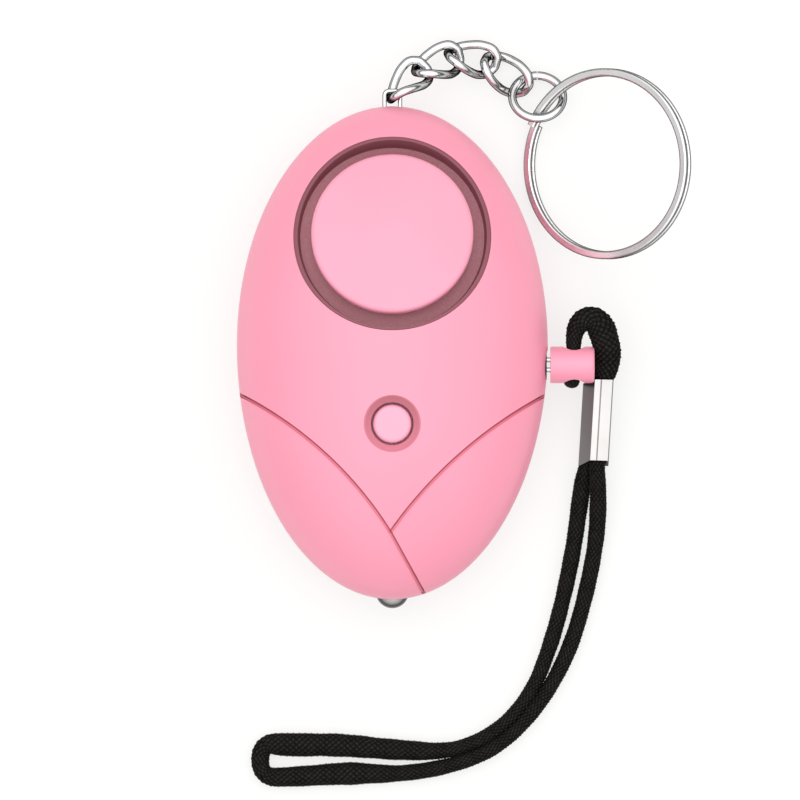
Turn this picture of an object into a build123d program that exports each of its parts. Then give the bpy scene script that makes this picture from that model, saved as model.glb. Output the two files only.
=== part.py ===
"""Personal safety alarm lying on its back: an egg-shaped case with a siren, a light button
and a lamp, a key ring on a short curb chain, and a pull pin on a corded wrist strap.

Millimetres. X runs to the pull pin, Y to the key ring, and Z up out of the front shell.
The origin is on the flat that the case rests on, under the case's widest section."""

import os
from math import cos, pi, radians, sin, sqrt, tan

from build123d import *

os.makedirs("parts", exist_ok=True)

# Case: a tall front dome and a flatter back, joined at the parting plane
case_half_width = 20.0
case_upper_length = 30.7
case_lower_length = 32.7
front_height = 11.5
rear_depth = 9.2
parting_height = 8.0
wall = 1.6
running_gap = 0.1
seat_gap = 0.05
overrun = 1.0

# Decorative grooves in the front dome, drawn on the case's half width and lower length, each
# with a fine deep line along one edge
groove_width = 0.46
groove_depth = 0.3
groove_line_width = 0.16
groove_line_depth = 0.8
groove_left_shares = [(-0.99, -0.193), (-0.425, -0.431), (-0.015, -0.734)]
groove_tail_shares = [(-0.015, -0.734), (0.085, -0.845), (0.21, -0.985)]
groove_right_shares = [(0.985, -0.198), (0.52, -0.386), (-0.01, -0.734)]
groove_tail_side = 1

# Siren: a round recess square to the dome, a dark insert, a cap on a stem and a piezo disc
recess_y = 14.6
recess_radius = 12.75
recess_floor_depth = 4.9
recess_wall_taper = 0.3
recess_floor_thickness = 1.2
insert_thickness = 0.4
insert_below_dome = 0.05
insert_foot_radius = 11.8
sound_hole_count = 10
sound_hole_radius = 0.85
sound_hole_circle = 8.85
cap_radius = 10.4
cap_top_depth = 0.35
cap_crown = 0.95
cap_edge_height = 1.1
cap_edge_round = 0.6
cap_foot_radius = 7.4
cap_stem_radius = 3.9
cap_stem_below = 0.5
piezo_radius = 10.75
gasket_width = 0.9
gasket_height = 1.5
brass_thickness = 0.4
ceramic_radius = 7.2
ceramic_thickness = 0.25

# Light button in its dished seat, over a tact switch on the board
button_y = -10.1
dish_radius = 3.72
dish_depth = 1.1
button_radius = 2.45
button_hole_radius = 2.75
button_top_below_dome = 0.2
button_edge_round = 0.45
button_travel = 0.4
guide_radius = 4.2
guide_length = 1.1
flange_radius = 3.4
flange_thickness = 0.85
button_stem_radius = 1.6
switch_width = 6.0
switch_height = 3.5
plunger_radius = 1.7
plunger_proud = 1.3
plunger_hidden = 0.9

# Circuit board and what it carries
board_bottom = 9.0
board_thickness = 1.0
board_side_margin = 4.5
board_end_margin = 4.7
board_top_y = 8.0
board_end_inset = 13.2
chip_radius = 3.0
chip_height = 1.2
chip_round = 0.7
chip_x = 6.5
chip_y = -13.5
inductor_radius = 3.3
inductor_height = 5.2
inductor_flange = 0.8
inductor_core_radius = 1.5
inductor_coil_radius = 2.9
inductor_x_share = -0.43
inductor_y = -4.0
transistor_radius = 2.3
transistor_height = 4.5
transistor_flat = 1.2
transistor_x_share = 0.34
transistor_y = -5.6
lead_radius = 0.35
lead_first_run = 2.0
lead_end_run = 3.0
lead_land_y = 6.0
lead_spread_shares = [0.5, 0.7, 1.0]
post_radius = 1.2
post_shares = [(0.61, 0.18), (-0.61, 0.18), (0.48, -0.532), (-0.48, -0.532)]

# Three button cells flat in a tray, with their contact strips
cell_radius = 5.8
cell_height = 5.4
cell_pitch = 11.7
cell_gap = 0.1
cell_edge_round = 0.5
cell_count = 3
tray_wall = 0.8
tray_bottom = 2.4
tray_floor = 0.4
tray_height = 4.0
strip_thickness = 0.2
strip_width = 4.0
tab_width = 1.4
tab_inset = 2.0
tray_rib_width = 1.2
tray_rib_length = 9.0
tray_rib_y = 7.5

# Lamp in the lower end of the case
lamp_radius = 2.15
lamp_below_parting = 2.75
lamp_proud = 1.2
lamp_length = 8.6
lamp_flange_radius = 2.3
lamp_flange_length = 0.9
bezel_radius = 2.4
bezel_below_shell = 0.1
bezel_length = 6.3
lamp_leg_radius = 0.25
lamp_leg_spread = 1.27
lamp_leg_run = 1.6
lamp_leg_step = 1.0
lamp_leg_lap = 1.8

# Screws, put in from the back
screw_shares = [(0.59, 0.6125), (-0.59, 0.6125), (0.5, -0.688), (-0.5, -0.688)]
screw_radius = 0.95
screw_head_radius = 1.75
screw_head_height = 1.2
screw_seat_height = 5.0
screw_tip_height = 10.4
screw_slot_width = 0.5
screw_slot_depth = 0.7
screw_slot_share = 0.65
screw_boss_radius = 2.1
screw_post_radius = 2.6

# Pull pin in its socket, on the parting plane
pin_y = -2.55
grip_radius = 2.35
grip_gap = 0.35
grip_length = 5.65
grip_end_round = 0.45
grip_hole_inset = 2.6
grip_hole_radius = 1.4
prong_radius = 0.35
prong_spread = 0.65
prong_depth = 10.7
prong_in_grip = 1.4
prong_gap = 0.07
socket_boss_radius = 1.9
socket_width = 5.0
socket_height = 4.4
socket_depth = 9.0
socket_boss_length = 2.65
socket_inset = 0.15
leaf_thickness = 0.25
leaf_length = 2.0
leaf_height = 2.0
leaf_gap = 0.1

# Staple at the upper end, a bent wire with its feet turned out behind the wall
staple_wire = 0.55
staple_half_width = 1.0
staple_proud = 2.0
staple_inset = 2.35
staple_foot_length = 1.5
staple_corner = 0.6

# Curb chain: twisted oval links of one wire, each placed by its centre, which is measured from
# the case's upper end, then by yaw, pitch and roll
link_wire = 1.13
link_half_length = 3.254
link_half_width = 1.935
link_twist = 1.068
link_points = 12
link_places = [
    ((2.04, 3.22, 6.73), (47.3, 24.5, -38.8)),
    ((5.96, 5.59, 4.74), (24.7, 26.7, -24.2)),
    ((10.34, 6.24, 2.91), (-8.0, 17.3, -20.3)),
    ((14.67, 4.3, 1.89), (-35.1, 6.0, -7.9)),
]

# Jump ring and split key ring, also placed from the case's upper end
jump_wire = 1.1
jump_ring_radius = 3.27
jump_slit = 0.12
jump_place = ((18.74, 1.31, 2.6), (-31.4, 1.5))
ring_radius = 11.76
ring_wire_width = 1.05
ring_wire_thickness = 0.55
ring_turn_gap = 0.42
ring_wire_round = 0.24
ring_centre = (27.55, -7.38)
ring_tilt = -31.0
ring_start_angle = 155.0
ring_floor_gap = 0.15

# Crimped ferrule on the strap: a flattened tube round both strands, placed from the case's side
ferrule_width = 3.9
ferrule_height = 4.9
ferrule_wall = 0.35
ferrule_corner_share = 0.36
ferrule_top = (6.95, -5.2, 5.0)
ferrule_bottom = (6.1, -15.6, 3.1)

# Wrist strap: one cord, from the ferrule round the pin, back through it and round the loop,
# its points measured from the case's side
cord_diameter = 2.0
arc_share = 0.45
cord_start = (6.74, -8.6, 5.44)
cord_route = [
    (7.05, -5.0, 6.12), (8.28, -1.6, 7.2), (8.3, 2.315, 8.0), (6.865, 3.75, 8.15),
    (4.835, 3.75, 8.15), (3.4, 2.315, 8.05), (3.5, -1.6, 8.1), (3.3, -6.1, 8.0),
    (2.9, -6.1, 3.75), (2.85, -1.75, 4.0), (7.15, -1.75, 4.4), (6.84, -6.6, 3.69),
    (6.06, -15.9, 2.02), (4.8, -21.5, 1.35), (3.55, -26.2, 1.2), (2, -33.0, 1.2),
    (0.1, -38.6, 1.2), (-2.7, -44.6, 1.2), (-6.7, -49.4, 1.2), (-12.4, -52.0, 1.2),
    (-19.6, -51.9, 1.2), (-26.6, -51.35, 1.2), (-33.2, -51.55, 1.2), (-37.05, -51.35, 1.2),
    (-37.05, -55.8, 1.2), (-32.6, -55.6, 1.2), (-25.6, -54.95, 1.2), (-18.6, -55.1, 1.2),
    (-11.4, -54.3, 1.2), (-5, -51.5, 1.2), (-0.1, -46.0, 1.2), (2.9, -39.4, 1.2),
    (5, -32.2, 1.25), (6.35, -25.2, 1.7), (6.35, -19.6, 2.9), (6.2, -15.0, 4.2),
]
cord_end = (6.55, -10.9, 5.0)


def cylinder(radius, start, end):
    """A solid cylinder from one point to another."""
    axis = Vector(*end) - Vector(*start)
    return extrude(Plane(origin=start, z_dir=axis) * Circle(radius), axis.length)


def block(low, high):
    """A solid box between two corners."""
    size = [b - a for a, b in zip(low, high)]
    centre = [(a + b) / 2 for a, b in zip(low, high)]
    return Pos(*centre) * Box(*size)


def half_egg(inset, height, upwards):
    """Half of the egg-shaped body, drawn in from the outside by a wall, on the parting plane."""
    halves = []
    for length, turn in ((case_upper_length, 0), (case_lower_length, 180)):
        quarter = Rot(0, 0, turn) * Sphere(1, arc_size1=0, arc_size2=90, arc_size3=180, align=None)
        stretch = (case_half_width - inset, length - inset, height - inset)
        halves.append(scale(quarter, by=stretch))
    egg = halves[0] + halves[1]
    if not upwards:
        egg = mirror(egg, about=Plane.XY)
    return Pos(0, 0, parting_height) * egg


def dome_fraction(x, y, inset):
    """Height of the egg over a place, as a share of its height in the middle."""
    length = (case_upper_length if y > 0 else case_lower_length) - inset
    return sqrt(1 - (x / (case_half_width - inset)) ** 2 - (y / length) ** 2)


def front_surface(x, y, inset=0):
    return parting_height + (front_height - inset) * dome_fraction(x, y, inset)


def rear_surface(x, y, inset=0):
    return parting_height - (rear_depth - inset) * dome_fraction(x, y, inset)


def corner_radii(points, closed=False):
    """The largest arc that each corner's two runs allow."""
    corners = range(len(points)) if closed else range(1, len(points) - 1)
    radii = []
    for k in corners:
        before = points[k] - points[k - 1]
        after = points[(k + 1) % len(points)] - points[k]
        half_turn = radians(before.get_angle(after) / 2)
        radii.append(arc_share * min(before.length, after.length) / tan(half_turn))
    return radii


def tube(points, diameter, radii=None):
    """A round tube along straight runs joined by tangent arcs, and its path."""
    points = [Vector(*p) for p in points]
    if len(points) == 2:
        path = Line(*points)
    else:
        path = FilletPolyline(*points, radius=radii or corner_radii(points))
    profile = Plane(origin=path @ 0, z_dir=path % 0) * Circle(diameter / 2)
    return sweep(profile, path=path), path


def turned(profile_points, plane):
    """A solid of revolution about a plane's normal, from radius and height points."""
    outline = Polyline(*[(r, h) for r, h in profile_points], close=True)
    return plane * revolve(Plane.XZ * make_face(outline), Axis.Z)


nodes = {}

# Places that follow the case's size
upper_end = Vector(0, case_upper_length, 0)
side_face = Vector(case_half_width, 0, 0)


def on_case(shares):
    """Places given as shares of the case's half width and of its upper or lower length."""
    return [
        (x * case_half_width, y * (case_upper_length if y > 0 else case_lower_length))
        for x, y in shares
    ]


screw_places = on_case(screw_shares)
post_places = on_case(post_shares)
board_half_width = case_half_width - board_side_margin
board_end_y = board_end_inset - case_lower_length
inductor_x = inductor_x_share * case_half_width
transistor_x = transistor_x_share * case_half_width
lamp_front_y = -case_lower_length - lamp_proud
lamp_back_y = lamp_front_y + lamp_length
lamp_height = parting_height - lamp_below_parting
grip_start_x = case_half_width + grip_gap
grip_end_x = grip_start_x + grip_length
grip_hole_x = grip_end_x - grip_hole_inset
prong_tip_x = case_half_width - prong_depth
socket_start_x = case_half_width - socket_depth
socket_end_x = case_half_width - socket_inset
socket_shoulder_x = socket_end_x - socket_boss_length
staple_top_y = case_upper_length + staple_proud
staple_foot_y = case_upper_length - staple_inset

# Frame of the siren: square to the dome where the recess is
recess_z = front_surface(0, recess_y)
recess_normal = Vector(
    0,
    recess_y / case_upper_length**2,
    (recess_z - parting_height) / front_height**2,
).normalized()
siren = Plane(origin=(0, recess_y, recess_z), x_dir=(1, 0, 0), z_dir=recess_normal)
insert_top = insert_thickness - recess_floor_depth
floor_underside = -recess_floor_depth - recess_floor_thickness

# Front shell: the egg less a cavity that leaves the siren's floor, the button's guide and the
# screw bosses standing, with the recess cut into it
cavity = half_egg(wall, front_height, True)
cavity -= turned(
    [
        (0, floor_underside),
        (recess_radius + wall, floor_underside),
        (recess_radius + wall, front_height),
        (0, front_height),
    ],
    siren,
)
guide_bottom = front_surface(0, button_y, wall) - guide_length
dome_top = parting_height + front_height
cavity -= cylinder(guide_radius, (0, button_y, guide_bottom), (0, button_y, dome_top))
for x, y in screw_places:
    cavity -= cylinder(screw_boss_radius, (x, y, parting_height - overrun), (x, y, dome_top))
front = half_egg(0, front_height, True) - cavity
front -= turned(
    [
        (0, -recess_floor_depth),
        (recess_radius - recess_wall_taper, -recess_floor_depth),
        (recess_radius, -recess_floor_depth / 2),
        (recess_radius + recess_wall_taper / 2, front_height),
        (0, front_height),
    ],
    siren,
)
front -= siren * Pos(0, 0, floor_underside / 2) * Cylinder(
    cap_stem_radius + running_gap, -floor_underside + overrun
)
sound_holes = [
    siren
    * Rot(0, 0, 360 * k / sound_hole_count)
    * Pos(sound_hole_circle, 0, floor_underside / 2)
    * Cylinder(sound_hole_radius, -floor_underside + overrun)
    for k in range(sound_hole_count)
]
for hole in sound_holes:
    front -= hole
dish_sphere = (dish_radius**2 + dish_depth**2) / (2 * dish_depth)
button_dome = front_surface(0, button_y)
button_normal = Vector(
    0,
    button_y / case_lower_length**2,
    (button_dome - parting_height) / front_height**2,
).normalized()
dish_centre = Vector(0, button_y, button_dome) + button_normal * (dish_sphere - dish_depth)
front -= Pos(*dish_centre) * Sphere(dish_sphere)
front -= cylinder(button_hole_radius, (0, button_y, parting_height), (0, button_y, dome_top))
for x, y in screw_places:
    pilot_top = screw_tip_height + running_gap
    front -= cylinder(screw_radius + seat_gap, (x, y, parting_height - overrun), (x, y, pilot_top))


def groove(shares, width, shift):
    """A slot along an arc through three places on the lower half of the dome, moved outwards."""
    points = [Vector(x * case_half_width, y * case_lower_length) for x, y in shares]
    centre = ThreePointArc(*points).arc_center
    moved = [p + (p - centre).normalized() * shift for p in points]
    return Pos(0, 0, parting_height) * extrude(trace(ThreePointArc(*moved), width), front_height)


groove_floor = half_egg(groove_depth, front_height, True)
line_floor = half_egg(groove_line_depth, front_height, True)
line_shift = (groove_width - groove_line_width) / 2
for shares, side in ((groove_left_shares, 1), (groove_tail_shares, groove_tail_side), (groove_right_shares, 1)):
    front -= groove(shares, groove_width, 0) - groove_floor
    front -= groove(shares, groove_line_width, side * line_shift) - line_floor

# Rear shell, with a flat to rest on
body_length = case_upper_length + case_lower_length
room = block(
    (-case_half_width, -body_length, 0), (case_half_width, body_length, parting_height)
)
room_inside = block(
    (-case_half_width, -body_length, wall), (case_half_width, body_length, parting_height)
)
outer_rear = half_egg(0, rear_depth, False) & room
rear = outer_rear - (half_egg(wall, rear_depth, False) & room_inside)
for x, y in screw_places:
    post = cylinder(screw_post_radius, (x, y, 0), (x, y, parting_height))
    rear += post & outer_rear
    rear -= cylinder(screw_head_radius + 2 * running_gap, (x, y, -overrun), (x, y, screw_seat_height))
    rear -= cylinder(screw_radius + 2 * running_gap, (x, y, 0), (x, y, parting_height + overrun))
for x, y in post_places:
    post_foot = (rear_surface(x, y) + rear_surface(x, y, wall)) / 2
    rear += cylinder(post_radius, (x, y, post_foot), (x, y, board_bottom))
for side in (-1, 1):
    rib_y = side * tray_rib_y
    rear += block(
        (-tray_rib_length / 2, rib_y - tray_rib_width / 2, wall / 2),
        (tray_rib_length / 2, rib_y + tray_rib_width / 2, tray_bottom),
    )

rear -= cylinder(
    bezel_radius, (0, board_end_y, lamp_height), (0, -case_lower_length - overrun, lamp_height)
)

# Openings that both shells share on the parting plane
shared_cuts = [
    cylinder(
        socket_boss_radius + running_gap,
        (socket_shoulder_x, pin_y, parting_height),
        (case_half_width + overrun, pin_y, parting_height),
    ),
]
for side in (-1, 1):
    leg_x = side * staple_half_width
    shared_cuts.append(
        cylinder(
            staple_wire / 2 + seat_gap,
            (leg_x, staple_foot_y, parting_height),
            (leg_x, case_upper_length + overrun, parting_height),
        )
    )
for cut in shared_cuts:
    front -= cut
    rear -= cut
nodes["front_shell"] = front
nodes["rear_shell"] = rear

# Dark insert, a cup whose sloping wall lines the recess up to the dome
insert_outer = recess_radius - seat_gap
insert = turned(
    [
        (cap_stem_radius + running_gap, -recess_floor_depth),
        (insert_outer - recess_wall_taper, -recess_floor_depth),
        (insert_outer, -recess_floor_depth / 2),
        (insert_outer, 0),
        (insert_outer - seat_gap, 0),
        (insert_foot_radius, insert_top),
        (cap_stem_radius + running_gap, insert_top),
    ],
    siren,
)
for hole in sound_holes:
    insert -= hole
nodes["sound_insert"] = insert & half_egg(insert_below_dome, front_height, True)

# Siren cap: a crowned disc on a foot, with a stem through the floor
crown_radius = (cap_radius**2 + cap_crown**2) / (2 * cap_crown)
cap_edge_top = -cap_top_depth - cap_crown
cap_underside = cap_edge_top - cap_edge_height
crown_middle = -cap_top_depth - crown_radius + sqrt(crown_radius**2 - (cap_radius / 2) ** 2)
cap_outline = make_face([
    Polyline(
        (0, -cap_top_depth), (0, cap_underside), (cap_radius, cap_underside), (cap_radius, cap_edge_top)
    ),
    ThreePointArc((cap_radius, cap_edge_top), (cap_radius / 2, crown_middle), (0, -cap_top_depth)),
])
rim = cap_outline.vertices().sort_by_distance((cap_radius, cap_edge_top))[0]
cap_outline = fillet(rim, cap_edge_round)
cap = siren * revolve(Plane.XZ * cap_outline, Axis.Z)
cap += turned(
    [
        (0, -recess_floor_depth - recess_floor_thickness - cap_stem_below),
        (cap_stem_radius, -recess_floor_depth - recess_floor_thickness - cap_stem_below),
        (cap_stem_radius, insert_top),
        (cap_foot_radius, insert_top),
        (cap_foot_radius, cap_underside),
        (0, cap_underside),
    ],
    siren,
)
nodes["siren_cap"] = cap

# Piezo sounder under the floor
gasket_bottom = floor_underside - gasket_height
brass_bottom = gasket_bottom - brass_thickness
nodes["piezo_gasket"] = turned(
    [
        (piezo_radius - gasket_width, gasket_bottom),
        (piezo_radius, gasket_bottom),
        (piezo_radius, floor_underside),
        (piezo_radius - gasket_width, floor_underside),
    ],
    siren,
)
nodes["piezo_disc"] = siren * Pos(0, 0, gasket_bottom - brass_thickness / 2) * Cylinder(
    piezo_radius, brass_thickness
)
nodes["piezo_ceramic"] = siren * Pos(0, 0, brass_bottom - ceramic_thickness / 2) * Cylinder(
    ceramic_radius, ceramic_thickness
)

# Light button and its switch
board_top = board_bottom + board_thickness
switch_top = board_top + switch_height
plunger_top = switch_top + plunger_proud
flange_top = guide_bottom - seat_gap
button_top = button_dome - button_top_below_dome
button = cylinder(button_radius, (0, button_y, flange_top), (0, button_y, button_top))
button = fillet(button.edges().sort_by(Axis.Z)[-1], button_edge_round)
button += cylinder(
    flange_radius, (0, button_y, flange_top - flange_thickness), (0, button_y, flange_top)
)
button += cylinder(
    button_stem_radius,
    (0, button_y, plunger_top + seat_gap),
    (0, button_y, flange_top - flange_thickness),
)
nodes["button_cap"] = button
plunger_foot = switch_top - plunger_hidden
nodes["switch_plunger"] = cylinder(
    plunger_radius, (0, button_y, plunger_foot), (0, button_y, plunger_top)
)
switch = block(
    (-switch_width / 2, button_y - switch_width / 2, board_top),
    (switch_width / 2, button_y + switch_width / 2, switch_top),
)
plunger_well = plunger_foot - button_travel - running_gap
nodes["tact_switch"] = switch - cylinder(
    plunger_radius + seat_gap, (0, button_y, plunger_well), (0, button_y, switch_top)
)

# Circuit board, notched for the socket
board_upper = Ellipse(board_half_width, case_upper_length - board_end_margin) & (
    Pos(0, board_top_y / 2) * Rectangle(2 * board_half_width, board_top_y)
)
board_lower = Ellipse(board_half_width, case_lower_length - board_end_margin) & (
    Pos(0, board_end_y / 2) * Rectangle(2 * board_half_width, -board_end_y)
)
notch_start = socket_start_x - 2 * cell_gap - leaf_thickness
notch_half = socket_width / 2 + 2 * leaf_gap
notch = Pos(notch_start + board_half_width / 2, pin_y) * Rectangle(board_half_width, 2 * notch_half)
board = extrude(board_upper + board_lower - notch, board_thickness)
nodes["circuit_board"] = Pos(0, 0, board_bottom) * board

# Parts on the board
chip = cylinder(chip_radius, (chip_x, chip_y, board_top), (chip_x, chip_y, board_top + chip_height))
nodes["control_chip"] = fillet(chip.edges().sort_by(Axis.Z)[-1], chip_round)
core = cylinder(
    inductor_core_radius,
    (inductor_x, inductor_y, board_top),
    (inductor_x, inductor_y, board_top + inductor_height),
)
for foot in (board_top, board_top + inductor_height - inductor_flange):
    core += cylinder(
        inductor_radius, (inductor_x, inductor_y, foot), (inductor_x, inductor_y, foot + inductor_flange)
    )
nodes["inductor_core"] = core
coil_foot = board_top + inductor_flange
coil_head = board_top + inductor_height - inductor_flange
nodes["inductor_winding"] = cylinder(
    inductor_coil_radius, (inductor_x, inductor_y, coil_foot), (inductor_x, inductor_y, coil_head)
) - cylinder(
    inductor_core_radius, (inductor_x, inductor_y, coil_foot), (inductor_x, inductor_y, coil_head)
)
case_round = cylinder(
    transistor_radius,
    (transistor_x, transistor_y, board_top),
    (transistor_x, transistor_y, board_top + transistor_height),
)
nodes["siren_transistor"] = case_round - block(
    (transistor_x - transistor_radius, transistor_y + transistor_flat, board_top),
    (
        transistor_x + transistor_radius,
        transistor_y + transistor_radius,
        board_top + transistor_height,
    ),
)

# Two leads from the sounder to the board
wires = []
for side in (-1, 1):
    first_x, middle_x, last_x = [side * ceramic_radius * share for share in lead_spread_shares]
    solder = siren * Pos(first_x, -abs(first_x), brass_bottom - ceramic_thickness)
    top = solder.position - siren.z_dir * lead_radius
    lead_z = board_top + lead_radius
    points = [
        top,
        (middle_x, top.Y - lead_first_run, (top.Z + lead_z) / 2),
        (last_x, lead_land_y - lead_end_run, lead_z),
    ]
    wires.append(tube(points, 2 * lead_radius)[0])
nodes["sounder_leads"] = Compound(children=[w.solid() for w in wires])

# Cells, tray and contact strips
cell_bottom = tray_bottom + tray_floor + strip_thickness
cell_top = cell_bottom + cell_height
cell_ys = [cell_pitch * (k - (cell_count - 1) / 2) for k in range(cell_count)]
cells = []
for y in cell_ys:
    cell = cylinder(cell_radius, (0, y, cell_bottom), (0, y, cell_top))
    cells.append(fillet(cell.edges().filter_by(GeomType.CIRCLE), cell_edge_round).solid())
nodes["button_cells"] = Compound(children=cells)
tray_radius = cell_radius + cell_gap + tray_wall
tray_half = cell_ys[-1] + tray_radius
tray = extrude(Rot(0, 0, 90) * SlotOverall(2 * tray_half, 2 * tray_radius), tray_height)
tray = Pos(0, 0, tray_bottom) * tray
for y in cell_ys:
    tray -= cylinder(
        cell_radius + cell_gap,
        (0, y, tray_bottom + tray_floor),
        (0, y, tray_bottom + tray_height + overrun),
    )
tray -= block(
    (-strip_width / 2 - cell_gap, -tray_half - overrun, tray_bottom + tray_floor),
    (strip_width / 2 + cell_gap, cell_ys[-1], tray_bottom + tray_height + overrun),
)
nodes["battery_tray"] = tray
strip_half = strip_width / 2
low = tray_bottom + tray_floor
nodes["cell_link_low"] = block(
    (-strip_half, cell_ys[1] - strip_half, low), (strip_half, cell_ys[2] + strip_half, cell_bottom)
)
nodes["cell_link_high"] = block(
    (-strip_half, cell_ys[0] - strip_half, cell_top),
    (strip_half, cell_ys[1] + strip_half, cell_top + strip_thickness),
)
leaf_outer = cell_ys[0] - cell_radius - cell_gap - strip_thickness
negative = block((-strip_half, leaf_outer, low), (strip_half, cell_ys[0] + strip_half, cell_bottom))
negative += block(
    (-tab_width / 2, leaf_outer, low), (tab_width / 2, leaf_outer + strip_thickness, board_bottom)
)
nodes["contact_negative"] = negative
tab_y = board_top_y - tab_inset
positive = block(
    (-strip_half, tab_y, cell_top), (strip_half, cell_ys[2] + strip_half, cell_top + strip_thickness)
)
positive += block(
    (-tab_width / 2, tab_y, cell_top), (tab_width / 2, tab_y + strip_thickness, board_bottom)
)
nodes["contact_positive"] = positive

# Lamp, its bezel and its legs
lamp_dome_y = lamp_front_y + lamp_radius
lamp = cylinder(lamp_radius, (0, lamp_back_y, lamp_height), (0, lamp_dome_y, lamp_height))
lamp += Pos(0, lamp_dome_y, lamp_height) * Sphere(lamp_radius)
lamp += cylinder(
    lamp_flange_radius,
    (0, lamp_back_y, lamp_height),
    (0, lamp_back_y - lamp_flange_length, lamp_height),
)
nodes["lamp_lens"] = lamp
bezel_back_y = bezel_length - case_lower_length
bezel = cylinder(
    bezel_radius, (0, -case_lower_length, lamp_height), (0, bezel_back_y, lamp_height)
) - cylinder(
    lamp_radius + seat_gap, (0, -case_lower_length, lamp_height), (0, bezel_back_y, lamp_height)
)
nodes["lamp_bezel"] = bezel & half_egg(bezel_below_shell, rear_depth, False)
legs = []
for side in (-1, 1):
    leg_x = side * lamp_leg_spread
    under_board = board_bottom - lamp_leg_radius
    points = [
        (leg_x, lamp_back_y, lamp_height),
        (leg_x, lamp_back_y + lamp_leg_run, lamp_height),
        (leg_x, board_end_y - lamp_leg_step, under_board),
        (leg_x, board_end_y + lamp_leg_lap, under_board),
    ]
    legs.append(tube(points, 2 * lamp_leg_radius)[0].solid())
nodes["lamp_legs"] = Compound(children=legs)

# Case screws with a cross recess
screws = []
for x, y in screw_places:
    head_foot = screw_seat_height - screw_head_height
    screw = cylinder(screw_head_radius, (x, y, head_foot), (x, y, screw_seat_height))
    screw += cylinder(screw_radius, (x, y, screw_seat_height), (x, y, screw_tip_height))
    arm = screw_head_radius * screw_slot_share
    for across, along in ((arm, screw_slot_width / 2), (screw_slot_width / 2, arm)):
        screw -= block(
            (x - across, y - along, head_foot), (x + across, y + along, head_foot + screw_slot_depth)
        )
    screws.append(screw.solid())
nodes["case_screws"] = Compound(children=screws)

# Pull pin: grip with a cross hole, and two prongs
grip = cylinder(
    grip_radius, (grip_start_x, pin_y, parting_height), (grip_end_x, pin_y, parting_height)
)
grip = fillet(grip.edges().filter_by(GeomType.CIRCLE).sort_by(Axis.X)[-1], grip_end_round)
grip -= cylinder(
    grip_hole_radius,
    (grip_hole_x, pin_y - 2 * grip_radius, parting_height),
    (grip_hole_x, pin_y + 2 * grip_radius, parting_height),
)
prongs = []
prong_bores = []
for side in (-1, 1):
    y = pin_y + side * prong_spread
    tip = (prong_tip_x, y, parting_height)
    root = (grip_start_x + prong_in_grip, y, parting_height)
    prong = cylinder(prong_radius, tip, root)
    prong_bores.append(cylinder(prong_radius + prong_gap, tip, root))
    grip -= prong
    prongs.append(prong.solid())
nodes["pin_grip"] = grip
nodes["pin_prongs"] = Compound(children=prongs)

# Socket that the prongs slide in, and the two leaves that they bridge
socket = block(
    (socket_start_x, pin_y - socket_width / 2, parting_height - socket_height / 2),
    (socket_shoulder_x, pin_y + socket_width / 2, parting_height + socket_height / 2),
)
socket += cylinder(
    socket_boss_radius,
    (socket_shoulder_x, pin_y, parting_height),
    (socket_end_x, pin_y, parting_height),
)
for bore in prong_bores:
    socket -= bore
nodes["pin_socket"] = socket
leaves = []
for side in (-1, 1):
    near = pin_y + side * (prong_spread + prong_radius + leaf_gap)
    far = near + side * leaf_thickness
    leaves.append(
        block(
            (socket_start_x - leaf_length, min(near, far), board_bottom - leaf_height),
            (socket_start_x, max(near, far), board_bottom),
        ).solid()
    )
nodes["switch_leaves"] = Compound(children=leaves)

# Staple
staple_points = [
    (-staple_half_width - staple_foot_length, staple_foot_y, parting_height),
    (-staple_half_width, staple_foot_y, parting_height),
    (-staple_half_width, staple_top_y, parting_height),
    (staple_half_width, staple_top_y, parting_height),
    (staple_half_width, staple_foot_y, parting_height),
    (staple_half_width + staple_foot_length, staple_foot_y, parting_height),
]
nodes["chain_staple"] = tube(staple_points, staple_wire, [staple_corner] * 4)[0]


def curb_link():
    """One twisted oval of wire, as two swept halves that meet face to face."""
    swell = 1 / cos(pi / link_points)
    ring = []
    for k in range(link_points):
        angle = 2 * pi * (k + 1 / 2) / link_points
        ring.append(
            Vector(
                swell * link_half_length * cos(angle),
                swell * link_half_width * sin(angle),
                swell * link_twist * sin(2 * angle),
            )
        )
    half = link_points // 2
    first_meet = (ring[-1] + ring[0]) / 2
    second_meet = (ring[half - 1] + ring[half]) / 2
    one = tube([first_meet, *ring[:half], second_meet], link_wire)[0]
    other = tube([second_meet, *ring[half:], first_meet], link_wire)[0]
    return one + other


# Curb chain, from the staple to the jump ring
link = curb_link()
for number, (place, (yaw, pitch, roll)) in enumerate(link_places, 1):
    nodes[f"chain_link_{number}"] = (
        Pos(*(upper_end + place)) * Rot(0, 0, yaw) * Rot(0, pitch, 0) * Rot(roll, 0, 0) * link
    )

# Jump ring with its slit, turned away from the load
place, (tip_back, lean) = jump_place
jump = Torus(jump_ring_radius, jump_wire / 2)
jump -= Pos(0, jump_ring_radius, 0) * Box(jump_slit, 2 * jump_wire, 2 * jump_wire)
nodes["jump_ring"] = Pos(*(upper_end + place)) * Rot(0, lean, 0) * Rot(tip_back, 0, 0) * jump

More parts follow.
